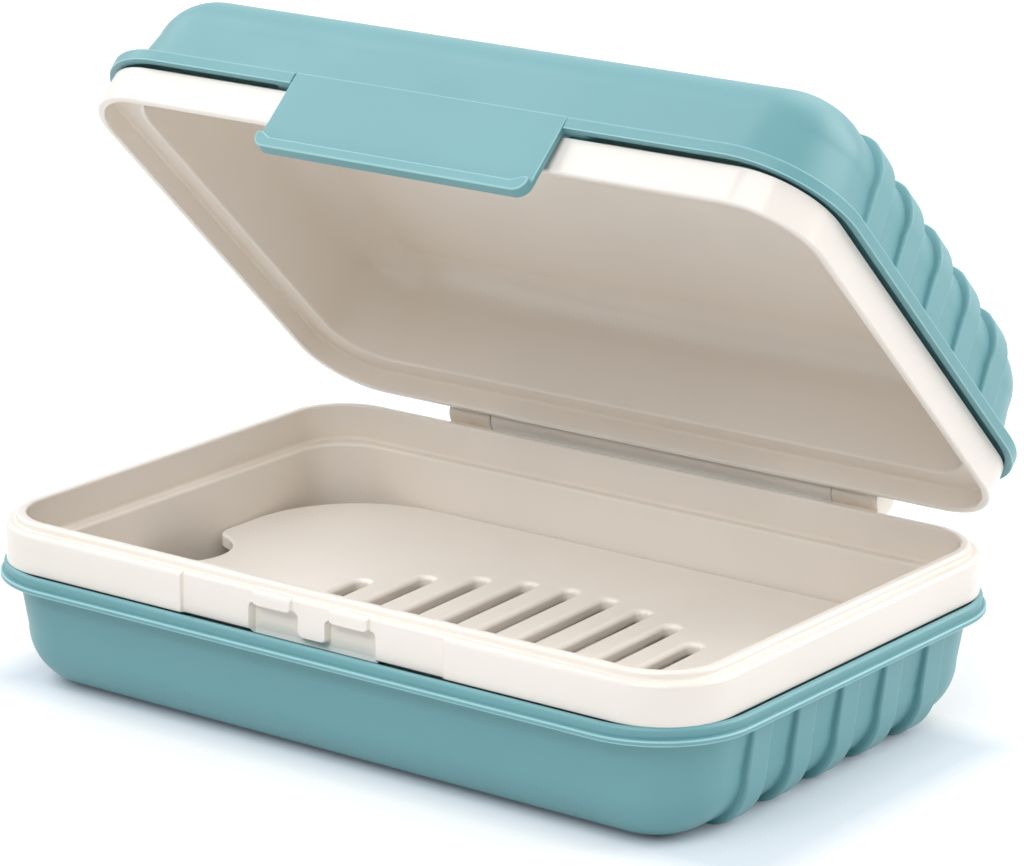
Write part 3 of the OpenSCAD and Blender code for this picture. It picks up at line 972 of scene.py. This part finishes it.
def makePins():
    reach = earOuter - hinge["cap"] - pins["endGap"]
    hingeRod = rod(hingeY, hingeZ, pins["hingeRadius"], pins["hingeEdge"], reach)
    dress(joined("hingePin", [hingeRod]), "base", ["hinge_pin"], steel)
    latchRod = rod(latchY, latchZ, pins["latchRadius"], pins["latchEdge"], pins["latchHalf"])
    dress(joined("latchPin", [latchRod]), "lid", ["latch_pin"], steel, lidTurn)


makePins()

# Floor, lamps and backdrop
studio = {
    "floorHalf": 6,
    "floor": (0.83, 0.83, 0.83),
    "seenFloor": (0.58, 0.625, 0.66),
    "floorRoughness": 0.9,
    "paintedShadowGlow": (0.17, 0.18, 0.21),  # the seen floor's own glow: dimmed into a painted shadow round the box, and full away from it
    "openGlow": (0.46, 0.43, 0.41),
    "shadeAt": (0.0045, -0.005, 0), "shadeHalf": (0.0615, 0.029, 1), "shadeFade": 0.008,
    # Painted contact shadow: the glow fades to nothing where the box rests
    "paintedContactShadowHalf": (0.0495, 0.0295, 1), "paintedContactShadowFade": 0.006,
    "world": 0.34,
    "lampSize": 1.1,
    "lampAim": (0, 0, 0.04),
    "lamps": {
        "topLeft": (8.9, (-1.0, -0.1, 1.0), (1, 1, 1)),
        "topFront": (12.8, (0.2, -0.92, 1.18), (1, 1, 1)),
        "topBack": (4.5, (0, 1.0, 1.0), (1, 1, 1)),
        "backRight": (13.8, (0.9, 0.9, 0.7), (1, 0.98, 0.95)),
    },
    "beam": {"power": 5, "place": (0.02, -0.58, 0.56), "aim": (0, 0.004, 0.012), "width": 9, "size": 0.05},
}


def hangLight(name, data, place, aim):
    light = bpy.data.objects.new(name, data)
    light.location = place
    light.rotation_mode = "QUATERNION"
    light.rotation_quaternion = (Vector(aim) - Vector(place)).to_track_quat("-Z", "Y")
    bpy.context.scene.collection.objects.link(light)


def lamp(name, power, place, colour):
    data = bpy.data.lights.new(name, "AREA")
    data.energy, data.size, data.color = power, studio["lampSize"], colour
    hangLight(name, data, place, studio["lampAim"])


def trayBeam():
    # A soft spot that reaches in under the lid
    beam = studio["beam"]
    data = bpy.data.lights.new("trayBeam", "SPOT")
    data.energy, data.shadow_soft_size = beam["power"], beam["size"]
    data.spot_size, data.spot_blend = math.radians(beam["width"]), 1
    hangLight("trayBeam", data, beam["place"], beam["aim"])


def seenRays(tree):
    # 1 for what the camera sees directly, in a gloss or through something clear
    path = tree.nodes.new("ShaderNodeLightPath")
    total = path.outputs["Is Camera Ray"]
    for name in ("Is Glossy Ray", "Is Transmission Ray"):
        add = tree.nodes.new("ShaderNodeMath")
        add.operation = "MAXIMUM"
        link(tree, total, add.inputs[0])
        link(tree, path.outputs[name], add.inputs[1])
        total = add.outputs[0]
    return total


def fromBox(tree, middle, half):
    # Distance on the floor from a rectangle
    last = tree.nodes.new("ShaderNodeTexCoord").outputs["Object"]
    for operation, value in (("SUBTRACT", middle), ("ABSOLUTE", None), ("SUBTRACT", half),
                             ("MAXIMUM", (0, 0, 0)), ("LENGTH", None)):
        step = tree.nodes.new("ShaderNodeVectorMath")
        step.operation = operation
        link(tree, last, step.inputs[0])
        if value:
            step.inputs[1].default_value = value
        last = step.outputs["Value" if operation == "LENGTH" else "Vector"]
    return last


def makeFloor():
    data = bpy.data.meshes.new("floor")
    mesh = bmesh.new()
    bmesh.ops.create_grid(mesh, x_segments=8, y_segments=8, size=studio["floorHalf"])
    mesh.to_mesh(data)
    mesh.free()
    floor = bpy.data.objects.new("floor", data)
    bpy.context.scene.collection.objects.link(floor)
    material, tree, shader = newMaterial("paleFloor")
    seen = seenRays(tree)
    link(tree, mixed(tree, seen, studio["floor"], studio["seenFloor"]), shader.inputs["Base Color"])
    shader.inputs["Roughness"].default_value = studio["floorRoughness"]
    shader.inputs["Specular IOR Level"].default_value = 0
    # Painted shadow on the floor: its glow is dimmer round the box and gone where the box rests
    away = band(tree, fromBox(tree, studio["shadeAt"], studio["shadeHalf"]), 0, studio["shadeFade"], 0, 1)
    paintedContactShadow = band(tree, fromBox(tree, (0, 0, 0), studio["paintedContactShadowHalf"]), 0, studio["paintedContactShadowFade"], 0, 1)
    paintedShadowColour = mixed(tree, paintedContactShadow, (0, 0, 0), studio["paintedShadowGlow"])
    link(tree, mixed(tree, away, paintedShadowColour, studio["openGlow"]), shader.inputs["Emission Color"])
    link(tree, seen, shader.inputs["Emission Strength"])
    data.materials.append(material)


def makeWorld():
    # Plain white to the camera, and a dimmer fill for the box itself
    world = bpy.data.worlds.new("studio")
    bpy.context.scene.world = world
    world.use_nodes = True
    background = world.node_tree.nodes["Background"]
    background.inputs["Color"].default_value = (1, 1, 1, 1)
    strength = band(world.node_tree, seenRays(world.node_tree), 0, 1, studio["world"], 1)
    link(world.node_tree, strength, background.inputs["Strength"])


makeFloor()
makeWorld()
for lampName, settings in studio["lamps"].items():
    lamp(lampName, *settings)
trayBeam()
bpy.context.scene.view_settings.view_transform = "Standard"
print("studio made")

bpy.context.view_layer.update()
